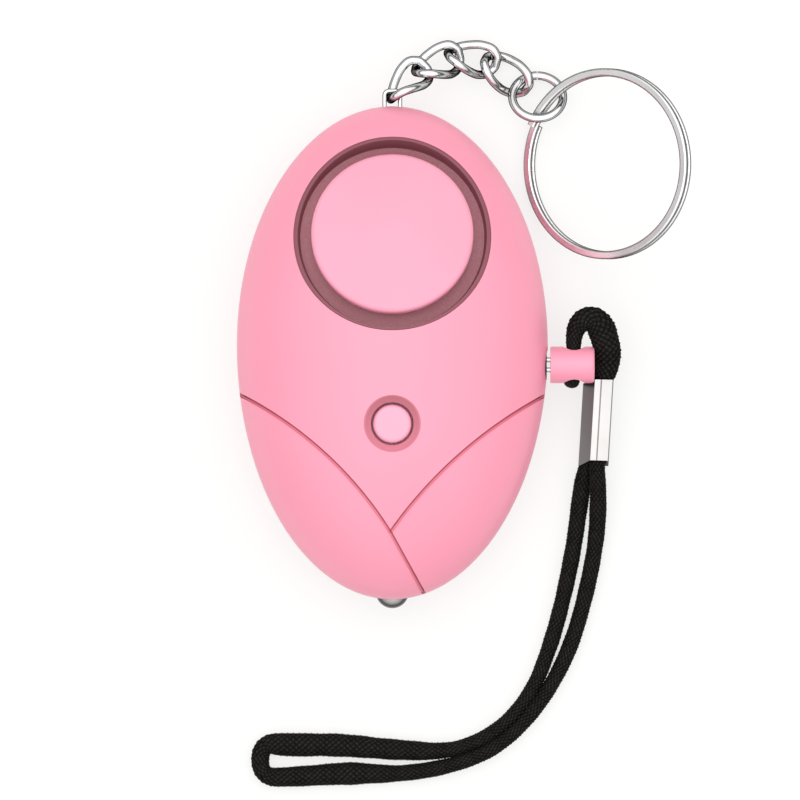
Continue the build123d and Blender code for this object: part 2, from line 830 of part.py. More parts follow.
# Split key ring: a flat wire wound twice, with its turns side by side
ring_pitch = ring_wire_thickness + ring_turn_gap
wire_path = Helix(ring_pitch, 2 * ring_pitch, ring_radius)
wire_start = Plane(origin=wire_path @ 0, x_dir=(1, 0, 0), z_dir=wire_path % 0)
wire_profile = wire_start * RectangleRounded(ring_wire_width, ring_wire_thickness, ring_wire_round)
split_ring = sweep(wire_profile, path=wire_path, is_frenet=True)
split_ring = Pos(0, 0, -ring_pitch) * split_ring
print("split ring gap between turns", round(ring_turn_gap, 2))
ring_reach = ring_radius + ring_wire_width / 2
ring_half_depth = ring_pitch + ring_wire_thickness / 2
ring_height = (
    ring_reach * sin(radians(-ring_tilt)) + ring_half_depth * cos(radians(ring_tilt)) + ring_floor_gap
)
nodes["split_ring"] = (
    Pos(*(upper_end + (*ring_centre, ring_height))) * Rot(0, ring_tilt, 0) * Rot(0, 0, ring_start_angle) * split_ring
)

# Ferrule
ferrule_axis = Vector(*ferrule_bottom) - Vector(*ferrule_top)
ferrule_frame = Plane(origin=side_face + ferrule_top, x_dir=(1, 0, 0), z_dir=ferrule_axis)
ferrule_corner = ferrule_width * ferrule_corner_share
outer = RectangleRounded(ferrule_width, ferrule_height, ferrule_corner)
inner = RectangleRounded(
    ferrule_width - 2 * ferrule_wall, ferrule_height - 2 * ferrule_wall, ferrule_corner - ferrule_wall
)
nodes["crimp_ferrule"] = ferrule_frame * extrude(outer - inner, ferrule_axis.length)

# Wrist strap
cord_points = [side_face + p for p in (cord_start, *cord_route, cord_end)]
cord_radii = corner_radii(cord_points)
cord, cord_path = tube(cord_points, cord_diameter, cord_radii)
nodes["wrist_cord"] = cord
print("cord radii", [round(r, 1) for r in cord_radii])
print("cord turns", [
    round((cord_points[k] - cord_points[k - 1]).get_angle(cord_points[k + 1] - cord_points[k]))
    for k in range(1, len(cord_points) - 1)
])
cord_section = pi * (cord_diameter / 2) ** 2
print("cord length", round(cord_path.length, 1))
print("cord volume", round(cord.volume, 2), "section x length", round(cord_section * cord_path.length, 2))

for name, solid in nodes.items():
    export_step(solid, f"parts/{name}.step")
print(len(nodes), "nodes")
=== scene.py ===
"""Personal safety alarm on a pale table, seen from straight above: a pink egg-shaped case with
its siren disc, light button and lamp, a bright curb chain and key ring, and a pull pin on a
black braided wrist strap. Metres, +Z up, +Y towards the key ring, +X towards the pull pin."""

from math import cos, pi, radians, sin

import bmesh
import bpy
import numpy as np
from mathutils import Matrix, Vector


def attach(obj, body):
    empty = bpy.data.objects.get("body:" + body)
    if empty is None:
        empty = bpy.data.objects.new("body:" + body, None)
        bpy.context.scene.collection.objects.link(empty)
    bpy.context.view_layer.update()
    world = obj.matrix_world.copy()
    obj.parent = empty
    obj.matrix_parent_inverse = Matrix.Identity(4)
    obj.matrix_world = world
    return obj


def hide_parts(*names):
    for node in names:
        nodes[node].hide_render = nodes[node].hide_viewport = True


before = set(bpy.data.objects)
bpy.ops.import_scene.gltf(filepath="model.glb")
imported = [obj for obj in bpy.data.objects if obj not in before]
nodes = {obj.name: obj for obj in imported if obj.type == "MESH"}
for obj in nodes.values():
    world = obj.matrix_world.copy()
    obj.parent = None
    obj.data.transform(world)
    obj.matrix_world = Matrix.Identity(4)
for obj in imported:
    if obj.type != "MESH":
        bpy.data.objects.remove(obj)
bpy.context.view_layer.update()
MM = 0.001

# The camera looks straight down from far off, so that the alarm is seen almost without
# perspective. The picture is 102.9 mm wide at the height of the case's parting plane.
scene = bpy.context.scene
scene.view_settings.view_transform = "Standard"
lens_length = 700.0
sensor_width = 36.0
picture_width = 102.9 * MM
picture_x, picture_y = 0.99 * MM, -7.07 * MM
parting_height = 8.0 * MM
camera_data = bpy.data.cameras.new("camera")
camera_data.sensor_width = sensor_width
camera_data.lens = lens_length
camera_data.clip_start, camera_data.clip_end = 0.1, 10.0
camera = bpy.data.objects.new("camera", camera_data)
camera.location = (
    picture_x, picture_y, parting_height + picture_width * lens_length / sensor_width
)
scene.collection.objects.link(camera)
scene.camera = camera


# The table is a plain pale sheet, far larger than the alarm. Seen by the camera or in metal it
# is mostly the plain near-white of the backdrop, and it keeps the alarm's soft shadow.
def new_material(name):
    """A fresh node material, with its nodes, links and main shader."""
    material = bpy.data.materials.new(name)
    material.use_nodes = True
    tree = material.node_tree
    return material, tree, tree.nodes["Principled BSDF"]


def rgb(red, green, blue):
    """A colour as seen on the screen, out of 255, in the linear values that sockets take."""
    return tuple(
        (c / 255 / 12.92) if c / 255 <= 0.04045 else ((c / 255 + 0.055) / 1.055) ** 2.4
        for c in (red, green, blue)
    ) + (1.0,)


def adjust(node, **values):
    """Set a node's own settings and the plain values of its inputs, by name."""
    for key, value in values.items():
        if hasattr(node, key):
            setattr(node, key, value)
        else:
            node.inputs[key.replace("_", " ")].default_value = value
    return node


def add(tree, kind, **values):
    """A new node in a tree, with the settings and plain values that it needs."""
    return adjust(tree.nodes.new(kind), **values)


table_reach = 3.0
near_white = (1, 1, 0.99, 1)
white_share = 0.72  # the rest is the table's own lit surface, which holds the shadow
table_mesh = bpy.data.meshes.new("table")
bm = bmesh.new()
bmesh.ops.create_grid(bm, x_segments=1, y_segments=1, size=table_reach)
bm.to_mesh(table_mesh)
bm.free()
table = bpy.data.objects.new("table", table_mesh)
scene.collection.objects.link(table)
table_material, tree, shader = new_material("pale_table")
adjust(shader, Base_Color=rgb(250, 250, 248), Roughness=0.9, Specular_IOR_Level=0.0)
path = add(tree, "ShaderNodeLightPath")
seen = add(tree, "ShaderNodeMath", operation="MAXIMUM")
seen_clear = add(tree, "ShaderNodeMath", operation="MAXIMUM")
share = add(tree, "ShaderNodeMath", operation="MULTIPLY")
share.inputs[1].default_value = white_share
white = add(tree, "ShaderNodeEmission", Color=near_white)
mix = add(tree, "ShaderNodeMixShader")
tree.links.new(path.outputs["Is Camera Ray"], seen.inputs[0])
tree.links.new(path.outputs["Is Glossy Ray"], seen.inputs[1])
tree.links.new(seen.outputs[0], seen_clear.inputs[0])
tree.links.new(path.outputs["Is Transmission Ray"], seen_clear.inputs[1])
tree.links.new(seen_clear.outputs[0], share.inputs[0])
tree.links.new(share.outputs[0], mix.inputs[0])
tree.links.new(shader.outputs[0], mix.inputs[1])
tree.links.new(white.outputs[0], mix.inputs[2])
tree.links.new(mix.outputs[0], tree.nodes["Material Output"].inputs["Surface"])
table_mesh.materials.append(table_material)


# The light is a plain studio tent: a wide bright ceiling that leans a little to the upper
# right, grey sides that give the metal its darker lines, and a soft box to the upper left.
def set_stops(ramp_node, stops):
    """Give a colour ramp its stops, from (position, colour) pairs in rising order."""
    elements = ramp_node.color_ramp.elements
    for element, (position, colour) in zip((elements[0], elements[1]), (stops[0], stops[-1])):
        element.position, element.color = position, colour
    for position, colour in stops[1:-1]:
        elements.new(position).color = colour


ceiling_lean = Vector((0.05, 0.08, 1.0))
tent_greys = (  # how far up towards the ceiling, and how bright the tent is there
    (0.0, 0.42), (0.08, 0.34), (0.17, 0.10), (0.36, 0.12), (0.46, 0.70), (0.80, 1.0),
)
world = bpy.data.worlds.new("room")
scene.world = world
world.use_nodes = True
tree = world.node_tree
tree.nodes.clear()
direction = add(tree, "ShaderNodeTexCoord")
ceiling = add(tree, "ShaderNodeVectorMath", operation="DOT_PRODUCT")
ceiling.inputs[1].default_value = ceiling_lean.normalized()
tent = add(tree, "ShaderNodeValToRGB")
set_stops(tent, [(position, (grey, grey, grey, 1)) for position, grey in tent_greys])
tent_light = add(tree, "ShaderNodeBackground", Strength=1.33)
backdrop = add(tree, "ShaderNodeBackground", Color=near_white)
path = add(tree, "ShaderNodeLightPath")
mix = add(tree, "ShaderNodeMixShader")
out = add(tree, "ShaderNodeOutputWorld")
tree.links.new(direction.outputs["Generated"], ceiling.inputs[0])
tree.links.new(ceiling.outputs["Value"], tent.inputs[0])
tree.links.new(tent.outputs[0], tent_light.inputs["Color"])
tree.links.new(path.outputs["Is Camera Ray"], mix.inputs[0])
tree.links.new(tent_light.outputs[0], mix.inputs[1])
tree.links.new(backdrop.outputs[0], mix.inputs[2])
tree.links.new(mix.outputs[0], out.inputs[0])
soft_box_data = bpy.data.lights.new("soft_box", "AREA")
soft_box_data.size = 0.40
soft_box_data.energy = 0.55
soft_box = bpy.data.objects.new("soft_box", soft_box_data)
soft_box.location = (-0.04, 0.06, 0.55)
soft_box.rotation_euler = (-soft_box.location).to_track_quat("-Z", "Y").to_euler()
scene.collection.objects.link(soft_box)

# The wrist strap is one soft black braided cord. It starts in the metal ferrule, loops up over
# the pin, back through the pin's cross hole and under it, down through the ferrule again,
# round the wrist loop, and back up into the ferrule, where both ends are crimped.
strap_points = [  # x, y, z, half width and half height of the flattened braid there
    (26.5, -8.6, 5.35, 0.80, 0.92),
    (26.9, -4.9, 5.75, 1.12, 0.85),
    (27.55, -3.1, 6.5, 1.50, 0.92),
    (27.75, -0.9, 7.3, 1.70, 0.95),
    (27.0, 2.1, 8.0, 1.80, 0.95),
    (26.0, 3.5, 8.15, 1.55, 0.90),
    (24.5, 3.3, 8.15, 1.40, 0.90),
    (23.35, 1.8, 8.05, 1.10, 0.95),
    (23.3, -1.6, 8.1, 0.80, 0.95),
    (23.3, -4.8, 7.9, 0.85, 0.70),
    (22.9, -4.8, 3.9, 0.95, 0.75),
    (22.85, -1.75, 4.0, 1.00, 0.90),
    (27.0, -1.75, 4.2, 1.00, 0.90),
    (26.7, -6.6, 3.5, 0.80, 0.92),
    (25.3, -14.6, 2.35, 0.95, 0.95),
    (24.55, -17.8, 1.75, 1.10, 0.98),
    (24.1, -21.0, 1.3, 1.06, 1.00),
    (23.4, -26.2, 1.2, 1.03, 1.00),
    (22.0, -33.0, 1.2, 1.00, 1.00),
    (20.4, -38.8, 1.2, 0.98, 1.00),
    (18.0, -45.0, 1.15, 0.93, 1.00),
    (13.8, -49.8, 1.15, 0.95, 1.00),
    (8.0, -52.5, 1.15, 0.96, 0.98),
    (0.4, -52.25, 1.2, 1.30, 0.90),
    (-6.6, -51.55, 1.2, 1.42, 0.82),
    (-13.2, -51.6, 1.2, 1.48, 0.82),
    (-17.05, -51.35, 1.2, 1.15, 0.95),
    (-17.05, -55.8, 1.2, 1.10, 0.95),
    (-12.6, -55.7, 1.2, 1.25, 0.90),
    (-5.6, -55.2, 1.2, 1.42, 0.85),
    (1.4, -55.4, 1.2, 1.00, 0.95),
    (8.8, -54.05, 1.35, 0.96, 0.98),
    (14.5, -51.3, 1.45, 0.95, 1.00),
    (19.4, -45.9, 1.35, 0.95, 1.00),
    (22.9, -39.4, 1.2, 1.00, 1.00),
    (25.0, -32.2, 1.25, 1.00, 1.00),
    (26.35, -25.2, 1.7, 1.02, 1.00),
    (26.6, -19.6, 2.8, 1.06, 1.00),
    (26.35, -15.0, 3.95, 0.95, 0.92),
    (26.4, -10.9, 4.75, 0.80, 0.92),
]
strap_line = bpy.data.curves.new("strap_line", "CURVE")
strap_line.dimensions = "3D"
spline = strap_line.splines.new("NURBS")
spline.points.add(len(strap_points) - 1)
for point, (x, y, z, _, _) in zip(spline.points, strap_points):
    point.co = (x * MM, y * MM, z * MM, 1)
spline.order_u = 3
spline.use_endpoint_u = True
spline.resolution_u = 48
line_object = bpy.data.objects.new("strap_line", strap_line)
scene.collection.objects.link(line_object)
line_mesh = bpy.data.meshes.new_from_object(line_object)
centreline = np.array([v.co for v in line_mesh.vertices])
bpy.data.objects.remove(line_object)
bpy.data.meshes.remove(line_mesh)

# How wide and high the braid is along the line: a control point's own values count where the
# curve passes nearest to it, half a span before the point.
ring_step = 0.15 * MM
places = np.arange(len(strap_points)) - 0.5
places[0], places[-1] = 0, len(strap_points) - 2
along = np.linspace(0, len(strap_points) - 2, len(centreline))
half_width = np.interp(along, places, [p[3] for p in strap_points]) * MM
half_height = np.interp(along, places, [p[4] for p in strap_points]) * MM
spans = np.linalg.norm(np.diff(centreline, axis=0), axis=1)
travelled = np.concatenate([[0], np.cumsum(spans)])
ring_count = int(travelled[-1] / ring_step) + 1
stations = np.linspace(0, travelled[-1], ring_count)
route = np.stack([np.interp(stations, travelled, centreline[:, k]) for k in range(3)], 1)
half_width = np.interp(stations, travelled, half_width)
half_height = np.interp(stations, travelled, half_height)

# The flat side of the braid faces up. It is carried along the line without twisting, and turns
# gently back to upright wherever the line runs level.
steepest_level = 0.7
turn_back = 0.12
tangents = np.gradient(route, axis=0)
tangents /= np.linalg.norm(tangents, axis=1)[:, None]
facing = np.zeros_like(route)
normal = np.array([0.0, 0.0, 1.0])
for k, tangent in enumerate(tangents):
    normal = normal - (normal @ tangent) * tangent
    normal /= np.linalg.norm(normal)
    if abs(tangent[2]) < steepest_level:
        upright = np.array([0.0, 0.0, 1.0]) * (1 if normal[2] > 0 else -1)
        upright = upright - (upright @ tangent) * tangent
        upright /= np.linalg.norm(upright)
        normal = normal + turn_back * (upright - normal)
        normal /= np.linalg.norm(normal)
    facing[k] = normal
sideways = np.cross(tangents, facing)

# The braid itself: twelve strands run each way round the cord, and pass over and under in turn.
# A strand is crowned, dips where it crosses another, and swells the cord a little unevenly.
strand_count = 12
vertices_round = 48
crossing = 0.78 * MM
relief = 0.20
relief_gain = 1.45
crown = 0.6
strand_low, strand_rise = 0.55, 0.45
unevenness = 0.03
slow_wave, quick_wave = 1.9 * MM, 0.8 * MM
map_length = 6.28 * MM  # one unit of the map along the cord, as far as once round it
angles = 2 * pi * np.arange(vertices_round) / vertices_round
strap_mesh = bpy.data.meshes.new("wrist_strap")
bm = bmesh.new()
weave_map = bm.verts.layers.float.new("weave")
rings = []
for k in range(ring_count):
    turn = strand_count * angles / (2 * pi)
    rise = stations[k] / crossing
    one, other = turn + rise, turn - rise
    bulge_one, bulge_other = np.abs(np.sin(pi * one)), np.abs(np.sin(pi * other))
    over_one = bulge_one ** crown * (strand_low + strand_rise * bulge_other)
    over_other = bulge_other ** crown * (strand_low + strand_rise * bulge_one)
    weave = np.where((np.floor(one) + np.floor(other)) % 2 == 0, over_one, over_other)
    uneven = unevenness * sin(stations[k] / slow_wave) * cos(stations[k] / quick_wave)
    swell = 1 - relief + relief_gain * relief * weave + uneven
    across = np.cos(angles) * half_width[k] * swell
    upward = np.sin(angles) * half_height[k] * swell
    ring_points = route[k] + across[:, None] * sideways[k] + upward[:, None] * facing[k]
    rings.append([bm.verts.new(p) for p in ring_points])
    for vertex, height in zip(rings[-1], weave):
        vertex[weave_map] = height
strap_map = bm.loops.layers.uv.new("braid")
for k in range(ring_count - 1):
    for j in range(vertices_round):
        after = (j + 1) % vertices_round
        face = bm.faces.new((rings[k][j], rings[k][after], rings[k + 1][after], rings[k + 1][j]))
        face.smooth = True
        for loop, (u, v) in zip(
            face.loops, ((j, k), (j + 1, k), (j + 1, k + 1), (j, k + 1))
        ):
            loop[strap_map].uv = (u / vertices_round, v * ring_step / map_length)
bm.faces.new(rings[0])
bm.faces.new(list(reversed(rings[-1])))
bmesh.ops.recalc_face_normals(bm, faces=bm.faces)
bm.to_mesh(strap_mesh)
bm.free()
strap = bpy.data.objects.new("wrist_strap", strap_mesh)
scene.collection.objects.link(strap)

# Black polyester fibre: each strand is a bundle of fine threads, some lighter than others. The
# colour is painted darkest in the gaps between the strands and lighter on their raised tops, as
# painted shade and light.
strap_material, tree, shader = new_material("black_braid")
braid_map = add(tree, "ShaderNodeUVMap", uv_map="braid")
thread_lie = radians(38)
stretch = add(tree, "ShaderNodeMapping", Rotation=(0, 0, thread_lie), Scale=(60, 9, 1))
threads = add(tree, "ShaderNodeTexNoise", Scale=4.0, Detail=3.0, Roughness=0.6)
spots = add(tree, "ShaderNodeTexCoord")
lint = add(tree, "ShaderNodeTexNoise", Scale=1900.0, Detail=2.0)
lint_share = 0.5
blend = add(tree, "ShaderNodeMath", operation="MULTIPLY_ADD")
blend.inputs[1].default_value = lint_share
raised = add(tree, "ShaderNodeAttribute", attribute_name="weave")
# Painted shade and light: thread tone times weave height, so the gaps between strands come out
# darkest.
threads_and_weave_shade = add(tree, "ShaderNodeMath", operation="MULTIPLY")
shade = add(tree, "ShaderNodeValToRGB")
set_stops(shade, [(0.38, (0.0008, 0.0006, 0.0005, 1)), (0.95, (0.042, 0.037, 0.033, 1))])
bump = add(tree, "ShaderNodeBump", Strength=0.5, Distance=0.06 * MM)
tree.links.new(braid_map.outputs[0], stretch.inputs[0])
tree.links.new(stretch.outputs[0], threads.inputs["Vector"])
tree.links.new(spots.outputs["Object"], lint.inputs["Vector"])
tree.links.new(lint.outputs[0], blend.inputs[0])
tree.links.new(threads.outputs[0], blend.inputs[2])
tree.links.new(blend.outputs[0], threads_and_weave_shade.inputs[0])
tree.links.new(raised.outputs["Fac"], threads_and_weave_shade.inputs[1])
tree.links.new(threads_and_weave_shade.outputs[0], shade.inputs[0])
tree.links.new(shade.outputs[0], shader.inputs["Base Color"])
tree.links.new(threads.outputs[0], bump.inputs["Height"])
tree.links.new(bump.outputs[0], shader.inputs["Normal"])
adjust(shader, Roughness=0.6, Specular_IOR_Level=0.10)
strap_mesh.materials.append(strap_material)
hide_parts("wrist_cord")
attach(strap, "pull_pin")

# The ferrule is thin bright sheet metal, rolled round both strands and crimped. One shoulder is
# pressed in to a flat slope, and the two edges of the sheet meet in a seam on its front.
ferrule_upper = Vector((26.5, 0, 5.0)) * MM
ferrule_lower = Vector((25.9, 0, 3.1)) * MM
upper_end, upper_rake = -4.95 * MM, 0.22
lower_end, lower_rake = -15.6 * MM, 0.33
ferrule_section = [
    (-1.90, -0.1), (-0.42, 2.35), (0.32, 2.31), (0.48, 2.20), (0.50, 2.30), (1.84, 2.16),
    (1.98, 1.95), (1.98, -1.6), (1.40, -2.35), (-1.40, -2.35), (-1.90, -1.7),
]
sheet = 0.28 * MM
ferrule_mesh = bpy.data.meshes.new("ferrule")
bm = bmesh.new()
upper_ring = [bm.verts.new((x * MM, 0, z * MM)) for x, z in ferrule_section]
upper_edges = [
    bm.edges.new((a, b)) for a, b in zip(upper_ring, upper_ring[1:] + upper_ring[:1])
]
extruded = bmesh.ops.extrude_edge_only(bm, edges=upper_edges)["geom"]
lower_ring = [v for v in extruded if isinstance(v, bmesh.types.BMVert)]
for ring, middle, end, rake in (
    (upper_ring, ferrule_upper, upper_end, upper_rake),
    (lower_ring, ferrule_lower, lower_end, lower_rake),
):
    for v in ring:
        v.co = v.co + middle + Vector((0, end + rake * max(v.co.z, 0), 0))
bmesh.ops.recalc_face_normals(bm, faces=bm.faces)
bmesh.ops.solidify(bm, geom=bm.faces, thickness=sheet)
bmesh.ops.recalc_face_normals(bm, faces=bm.faces)
bm.to_mesh(ferrule_mesh)
bm.free()
ferrule = bpy.data.objects.new("ferrule", ferrule_mesh)
scene.collection.objects.link(ferrule)


# Its plating is bright, with faint drawing marks and small soft dents from the plating drum.
def group_tree(name, inputs, outputs):
    """A shader node group with named sockets; inputs are (name, kind, value)."""
    tree = bpy.data.node_groups.new(name, "ShaderNodeTree")
    for label, kind, value in inputs:
        socket = tree.interface.new_socket(label, in_out="INPUT", socket_type=kind)
        socket.default_value = value
    for label, kind in outputs:
        tree.interface.new_socket(label, in_out="OUTPUT", socket_type=kind)
    return tree, tree.nodes.new("NodeGroupInput"), tree.nodes.new("NodeGroupOutput")


mix_first, mix_second, mix_result = 6, 7, 2  # which of a Mix node's sockets hold colours


def mix_colours(tree, factor, first, second):
    """The colour between two others: the first at a factor of 0, the second at 1."""
    mix = add(tree, "ShaderNodeMix", data_type="RGBA")
    tree.links.new(factor, mix.inputs["Factor"])
    for index, colour in ((mix_first, first), (mix_second, second)):
        if isinstance(colour, bpy.types.NodeSocket):
            tree.links.new(colour, mix.inputs[index])
        else:
            mix.inputs[index].default_value = colour
    return mix.outputs[mix_result]


surface_outputs = [
    ("Colour", "NodeSocketColor"),
    ("Roughness", "NodeSocketFloat"),
    ("Normal", "NodeSocketVector"),
]
plated, given, result = group_tree(
    "plated_metal",
    [
        ("Colour", "NodeSocketColor", (0.8, 0.8, 0.8, 1)),
        ("Roughness", "NodeSocketFloat", 0.1),
        ("Mark Scale", "NodeSocketFloat", 900.0),
        ("Mark Depth", "NodeSocketFloat", 0.1),
    ],
    surface_outputs,
)
dulling = 0.12
place = add(plated, "ShaderNodeTexCoord")
marks = add(plated, "ShaderNodeTexNoise", Detail=3.0, Roughness=0.55)
dull = add(plated, "ShaderNodeTexNoise", Scale=260.0, Detail=2.0)
dull_amount = add(plated, "ShaderNodeMath", operation="MULTIPLY_ADD")
dull_amount.inputs[1].default_value = dulling
tone = add(plated, "ShaderNodeMapRange", From_Min=0.3, From_Max=0.7, To_Min=0.90, To_Max=1.0)
toned = add(plated, "ShaderNodeVectorMath", operation="SCALE")
mark_bump = add(plated, "ShaderNodeBump", Distance=0.03 * MM)
plated.links.new(place.outputs["Object"], marks.inputs["Vector"])
plated.links.new(place.outputs["Object"], dull.inputs["Vector"])
plated.links.new(given.outputs["Mark Scale"], marks.inputs["Scale"])
plated.links.new(dull.outputs[0], dull_amount.inputs[0])
plated.links.new(given.outputs["Roughness"], dull_amount.inputs[2])
plated.links.new(dull.outputs[0], tone.inputs["Value"])
plated.links.new(given.outputs["Colour"], toned.inputs[0])
plated.links.new(tone.outputs[0], toned.inputs["Scale"])
plated.links.new(marks.outputs[0], mark_bump.inputs["Height"])
plated.links.new(given.outputs["Mark Depth"], mark_bump.inputs["Strength"])
plated.links.new(toned.outputs[0], result.inputs["Colour"])
plated.links.new(dull_amount.outputs[0], result.inputs["Roughness"])
plated.links.new(mark_bump.outputs[0], result.inputs["Normal"])


def metal(name, colour, roughness, mark_scale=900.0, mark_depth=0.1, edge=None):
    """A metal with its own tone and marks. Its edge, where given, paints a darker reflection into
    the
    colour: from where to where the surface darkens as it turns from the eye, and the tone that it
    darkens to."""
    material, tree, shader = new_material(name)
    skin = add(
        tree, "ShaderNodeGroup", node_tree=plated,
        Colour=colour, Roughness=roughness, Mark_Scale=mark_scale, Mark_Depth=mark_depth,
    )
    tree.links.new(skin.outputs["Roughness"], shader.inputs["Roughness"])
    tree.links.new(skin.outputs["Normal"], shader.inputs["Normal"])
    shader.inputs["Metallic"].default_value = 1.0
    if edge is None:
        tree.links.new(skin.outputs["Colour"], shader.inputs["Base Color"])
        return material
    start, end, tone = edge
    painted_edge_tone = (tone, tone, tone, 1)
    grazing = add(tree, "ShaderNodeLayerWeight", Blend=0.5)
    fall = add(
        tree, "ShaderNodeMapRange", interpolation_type="SMOOTHSTEP", From_Min=start, From_Max=end
    )
    tree.links.new(grazing.outputs["Facing"], fall.inputs["Value"])
    painted_dark_edge = mix_colours(tree, fall.outputs[0], skin.outputs["Colour"], painted_edge_tone)
    tree.links.new(painted_dark_edge, shader.inputs["Base Color"])
    shader.inputs["Specular Tint"].default_value = painted_edge_tone
    return material


# Painted reflection: the ferrule's colour darkens at its edges as they turn from the eye.
ferrule_material = metal(
    "bright_ferrule", (0.735, 0.71, 0.70, 1), roughness=0.24,
    mark_scale=420.0, mark_depth=0.06, edge=(0.10, 0.46, 0.27),
)
ferrule_mesh.materials.append(ferrule_material)
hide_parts("crimp_ferrule")
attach(ferrule, "pull_pin")

# The case is two shells of satin pink plastic, moulded with a very fine grain and screwed
# together from the back. They meet in a hairline seam round the widest section.
moulded, given, result = group_tree(
    "moulded_plastic",
    [
        ("Colour", "NodeSocketColor", (0.9, 0.3, 0.4, 1)),
        ("Deeper Colour", "NodeSocketColor", (0.8, 0.2, 0.3, 1)),
        ("Grain Scale", "NodeSocketFloat", 5000.0),
        ("Grain Depth", "NodeSocketFloat", 0.15),
        ("Roughness", "NodeSocketFloat", 0.4),
    ],
    surface_outputs,
)
grain_wear = 0.10
place = add(moulded, "ShaderNodeTexCoord")
flow = add(moulded, "ShaderNodeTexNoise", Scale=45.0, Detail=2.0, Roughness=0.5)
grain = add(moulded, "ShaderNodeTexNoise", Detail=2.0, Roughness=0.6)
gentle = add(moulded, "ShaderNodeMapRange", From_Min=0.35, From_Max=0.70, To_Max=0.35)
wear = add(moulded, "ShaderNodeMath", operation="MULTIPLY_ADD")
wear.inputs[1].default_value = grain_wear
grain_bump = add(moulded, "ShaderNodeBump", Distance=0.02 * MM)
moulded.links.new(place.outputs["Object"], flow.inputs["Vector"])
moulded.links.new(place.outputs["Object"], grain.inputs["Vector"])
moulded.links.new(given.outputs["Grain Scale"], grain.inputs["Scale"])
moulded.links.new(flow.outputs[0], gentle.inputs["Value"])
tint = mix_colours(
    moulded, gentle.outputs[0], given.outputs["Colour"], given.outputs["Deeper Colour"]
)
moulded.links.new(grain.outputs[0], wear.inputs[0])
moulded.links.new(given.outputs["Roughness"], wear.inputs[2])
moulded.links.new(grain.outputs[0], grain_bump.inputs["Height"])
moulded.links.new(given.outputs["Grain Depth"], grain_bump.inputs["Strength"])
moulded.links.new(tint, result.inputs["Colour"])
moulded.links.new(wear.outputs[0], result.inputs["Roughness"])
moulded.links.new(grain_bump.outputs[0], result.inputs["Normal"])


def plastic(name, colour, deeper, grain_scale, grain_depth, roughness, gloss=0.5):
    """A moulded plastic with its own colours and grain, from a node called skin."""
    material, tree, shader = new_material(name)
    skin = add(
        tree, "ShaderNodeGroup", node_tree=moulded, name="skin", Colour=colour,
        Deeper_Colour=deeper, Grain_Scale=grain_scale, Grain_Depth=grain_depth,
        Roughness=roughness,
    )
    tree.links.new(skin.outputs["Colour"], shader.inputs["Base Color"])
    tree.links.new(skin.outputs["Roughness"], shader.inputs["Roughness"])
    tree.links.new(skin.outputs["Normal"], shader.inputs["Normal"])
    shader.inputs["Specular IOR Level"].default_value = gloss
    return material


def finish_nodes(material, *names):
    """Give carried-over solids their finish."""
    for name in names:
        mesh = nodes[name].data
        mesh.materials.clear()
        mesh.materials.append(material)


from_axis, given, result = group_tree(
    "distance_from_axis",
    [("Centre", "NodeSocketVector", (0, 0, 0)), ("Axis", "NodeSocketVector", (0, 0, 1))],
    [("Distance", "NodeSocketFloat")],
)
place = add(from_axis, "ShaderNodeTexCoord")
offset = add(from_axis, "ShaderNodeVectorMath", operation="SUBTRACT")
swept = add(from_axis, "ShaderNodeVectorMath", operation="CROSS_PRODUCT")
reach = add(from_axis, "ShaderNodeVectorMath", operation="LENGTH")
from_axis.links.new(place.outputs["Object"], offset.inputs[0])
from_axis.links.new(given.outputs["Centre"], offset.inputs[1])
from_axis.links.new(offset.outputs[0], swept.inputs[0])
from_axis.links.new(given.outputs["Axis"], swept.inputs[1])
from_axis.links.new(swept.outputs[0], reach.inputs[0])
from_axis.links.new(reach.outputs["Value"], result.inputs["Distance"])


def round_zone(tree, centre, axis, inner, outer):
    """A mask that is 0 inside one radius about an axis and 1 outside the other."""
    distance = add(tree, "ShaderNodeGroup", node_tree=from_axis, Centre=centre, Axis=axis)
    zone = add(
        tree, "ShaderNodeMapRange", interpolation_type="SMOOTHSTEP",
        From_Min=inner, From_Max=outer,
    )
    tree.links.new(distance.outputs["Distance"], zone.inputs["Value"])
    return zone.outputs[0]


pink = rgb(251, 157, 181)
deep_pink = rgb(249, 146, 170)
case_grain = 5200.0
case_gloss = 0.85
straight_up = (0, 0, 1)
seam_half_width = 0.045 * MM
case_material = plastic(
    "pink_case", pink, deep_pink, case_grain, grain_depth=0.10, roughness=0.40, gloss=case_gloss
)
tree = case_material.node_tree
seam_place = add(tree, "ShaderNodeTexCoord")
seam_split = add(tree, "ShaderNodeSeparateXYZ")
near_seam = add(tree, "ShaderNodeMath", operation="COMPARE")
near_seam.inputs[1].default_value = parting_height
near_seam.inputs[2].default_value = seam_half_width
tree.links.new(seam_place.outputs["Object"], seam_split.inputs[0])
tree.links.new(seam_split.outputs["Z"], near_seam.inputs[0])
seam_tint = mix_colours(
    tree, near_seam.outputs[0], tree.nodes["skin"].outputs["Colour"], rgb(150, 78, 94)
)

# The button sits in a shallow dish, where the pink is painted darker as shade, most at the
# dish's upper side. The parting line of the V panel gets a deeper pink band painted along its
# floor as shade.
# Painted shade: the dish is coloured darker inside its rim, and darker still towards its top.
dish_centre = (0, -10.07 * MM, 0)
dish_shade = add(tree, "ShaderNodeMapRange", From_Min=-13.4 * MM, From_Max=-6.6 * MM)
tree.links.new(seam_split.outputs["Y"], dish_shade.inputs["Value"])
dish_painted_shade = mix_colours(tree, dish_shade.outputs[0], rgb(212, 114, 134), rgb(198, 110, 126))
outside_dish = round_zone(tree, dish_centre, straight_up, inner=3.60 * MM, outer=3.72 * MM)
seam_and_painted_shade = mix_colours(tree, outside_dish, dish_painted_shade, seam_tint)
